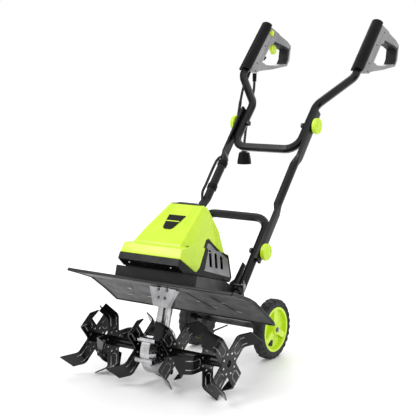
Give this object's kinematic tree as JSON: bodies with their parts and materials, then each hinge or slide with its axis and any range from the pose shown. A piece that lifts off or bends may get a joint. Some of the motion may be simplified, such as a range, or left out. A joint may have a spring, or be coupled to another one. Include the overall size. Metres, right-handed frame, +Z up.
{
  "type": "mini cultivator",
  "caption": "Corded electric mini cultivator with angled steel tines under a sheet guard, a lime motor hood, transport wheels and a folding handle with D-grips.",
  "frame": {"origin": "bottom centre of the object's bounding box, on the ground", "axes": "+Z up, -Y towards the tines (front), +Y towards the grips (rear), +X across to the machine's left seen from behind the front, on the lock pin's side"},
  "size_m": [0.462, 0.9708, 0.8467],
  "materials": {
    "lime_plastic": "gloss",
    "black_plastic": "satin",
    "silver_plastic": "satin",
    "grip_grey": "matte",
    "black_rubber": "matte",
    "tube_black": "satin",
    "sheet_grey": "satin",
    "tine_black": "satin",
    "cast_aluminium": "satin",
    "bright_steel": "satin",
    "bronze": "satin",
    "copper_winding": "satin"
  },
  "bodies": {
    "root": {"gear_case_left": "cast_aluminium", "gear_case_right": "cast_aluminium", "tine_guard": "sheet_grey", "deck_frame": "sheet_grey", "motor_cover": "lime_plastic", "rear_cap": "black_plastic", "motor_base": "black_plastic", "side_vent_left": "silver_plastic", "side_vent_right": "silver_plastic", "reduction_box": "cast_aluminium", "motor_stator": "bright_steel", "lower_handle": "tube_black", "handle_bracket_left": "sheet_grey", "handle_bracket_right": "sheet_grey", "carriage_pivot_rod": "bright_steel", "lower_bolt_left": "tube_black", "lower_bolt_right": "tube_black", "motor_cable_lower": "black_rubber"},
    "tines": {"tine_shaft": "bright_steel", "bevel_gear": "bronze", "tine_star_left_inner": "tine_black", "tine_star_left_middle": "tine_black", "tine_star_left_outer": "tine_black", "tine_star_right_inner": "tine_black", "tine_star_right_middle": "tine_black", "tine_star_right_outer": "tine_black"},
    "drive": {"drive_shaft": "bright_steel"},
    "rotor_body": {"rotor": "copper_winding"},
    "carriage": {"carriage_arm_left": "sheet_grey", "carriage_arm_right": "sheet_grey", "axle": "bright_steel"},
    "wheel_left": {"tyre_left": "black_rubber", "wheel_rim_left": "lime_plastic"},
    "wheel_right": {"tyre_right": "black_rubber", "wheel_rim_right": "lime_plastic"},
    "lock_pin_body": {"lock_pin": "bright_steel"},
    "middle_handle": {"middle_tube_left": "tube_black", "middle_tube_right": "tube_black", "cable_clip_1": "black_plastic", "cable_clip_2": "black_plastic", "motor_cable_middle": "black_rubber", "upper_bolt_left": "tube_black", "upper_bolt_right": "tube_black"},
    "upper_handle_body": {"upper_handle": "tube_black", "grip_cover_left": "black_plastic", "grip_cover_right": "black_plastic", "grip_body_left": "grip_grey", "grip_body_right": "grip_grey", "grip_rubber_left": "black_rubber", "grip_rubber_right": "black_rubber", "strain_relief": "black_plastic", "power_lead": "black_rubber", "plug": "black_plastic", "motor_cable_upper": "black_rubber"},
    "knob_lower_left": {"lower_knob_left": "lime_plastic"},
    "knob_lower_right": {"lower_knob_right": "lime_plastic"},
    "knob_upper_left": {"upper_knob_left": "lime_plastic"},
    "knob_upper_right": {"upper_knob_right": "lime_plastic"},
    "trigger_body": {"trigger": "lime_plastic"},
    "lock_button_body": {"lock_button": "lime_plastic"}
  },
  "joints": [
    {"name": "tine_spin", "type": "hinge", "parent": "root", "child": "tines", "pos_m": [0, -0.4013, 0.0813], "axis": [1, 0, 0], "continuous": true},
    {"name": "drive_shaft_spin", "type": "hinge", "parent": "root", "child": "drive", "pos_m": [0, -0.37374, 0.17743], "axis": [0, 0.2756, 0.9613], "continuous": true},
    {"name": "rotor_spin", "type": "hinge", "parent": "root", "child": "rotor_body", "pos_m": [0, -0.33515, 0.312], "axis": [0, 0.2756, 0.9613], "continuous": true},
    {"name": "carriage_swing", "type": "hinge", "parent": "root", "child": "carriage", "pos_m": [0, -0.2208, 0.188], "axis": [1, 0, 0], "range_deg": [0, 45]},
    {"name": "wheel_left_spin", "type": "hinge", "parent": "carriage", "child": "wheel_left", "pos_m": [-0.1104, -0.0806, 0.0745], "axis": [1, 0, 0], "continuous": true},
    {"name": "wheel_right_spin", "type": "hinge", "parent": "carriage", "child": "wheel_right", "pos_m": [0.1104, -0.0806, 0.0745], "axis": [1, 0, 0], "continuous": true},
    {"name": "lock_pin_pull", "type": "slide", "parent": "root", "child": "lock_pin_body", "axis": [1, 0, 0], "range_m": [0, 0.008], "stiffness_N_per_m": 400, "springref_m": -0.004},
    {"name": "middle_handle_fold", "type": "hinge", "parent": "root", "child": "middle_handle", "pos_m": [0, -0.1332, 0.2784], "axis": [1, 0, 0], "range_deg": [0, 100]},
    {"name": "upper_handle_fold", "type": "hinge", "parent": "middle_handle", "child": "upper_handle_body", "pos_m": [0, 0.1188, 0.568], "axis": [-1, 0, 0], "range_deg": [0, 150]},
    {"name": "lower_knob_left_turn", "type": "hinge", "parent": "root", "child": "knob_lower_left", "pos_m": [-0.122, -0.1332, 0.2784], "axis": [-1, 0, 0], "range_deg": [0, 720]},
    {"name": "lower_knob_right_turn", "type": "hinge", "parent": "root", "child": "knob_lower_right", "pos_m": [0.122, -0.1332, 0.2784], "axis": [1, 0, 0], "range_deg": [0, 720]},
    {"name": "upper_knob_left_turn", "type": "hinge", "parent": "middle_handle", "child": "knob_upper_left", "pos_m": [-0.122, 0.1188, 0.568], "axis": [-1, 0, 0], "range_deg": [0, 720]},
    {"name": "upper_knob_right_turn", "type": "hinge", "parent": "middle_handle", "child": "knob_upper_right", "pos_m": [0.122, 0.1188, 0.568], "axis": [1, 0, 0], "range_deg": [0, 720]},
    {"name": "trigger_pull", "type": "hinge", "parent": "upper_handle_body", "child": "trigger_body", "pos_m": [-0.1733, 0.39193, 0.78487], "axis": [1, 0, 0], "range_deg": [0, 5], "stiffness_Nm_per_rad": 1.5, "springref_deg": -8.02},
    {"name": "lock_button_press", "type": "slide", "parent": "upper_handle_body", "child": "lock_button_body", "axis": [-1, 0, 0], "range_m": [0, 0.003], "stiffness_N_per_m": 600, "springref_m": -0.002}
  ],
  "couplings": [
    {"joint": "drive_shaft_spin", "follows": "tine_spin", "ratio": 3},
    {"joint": "rotor_spin", "follows": "tine_spin", "ratio": 30}
  ]
}
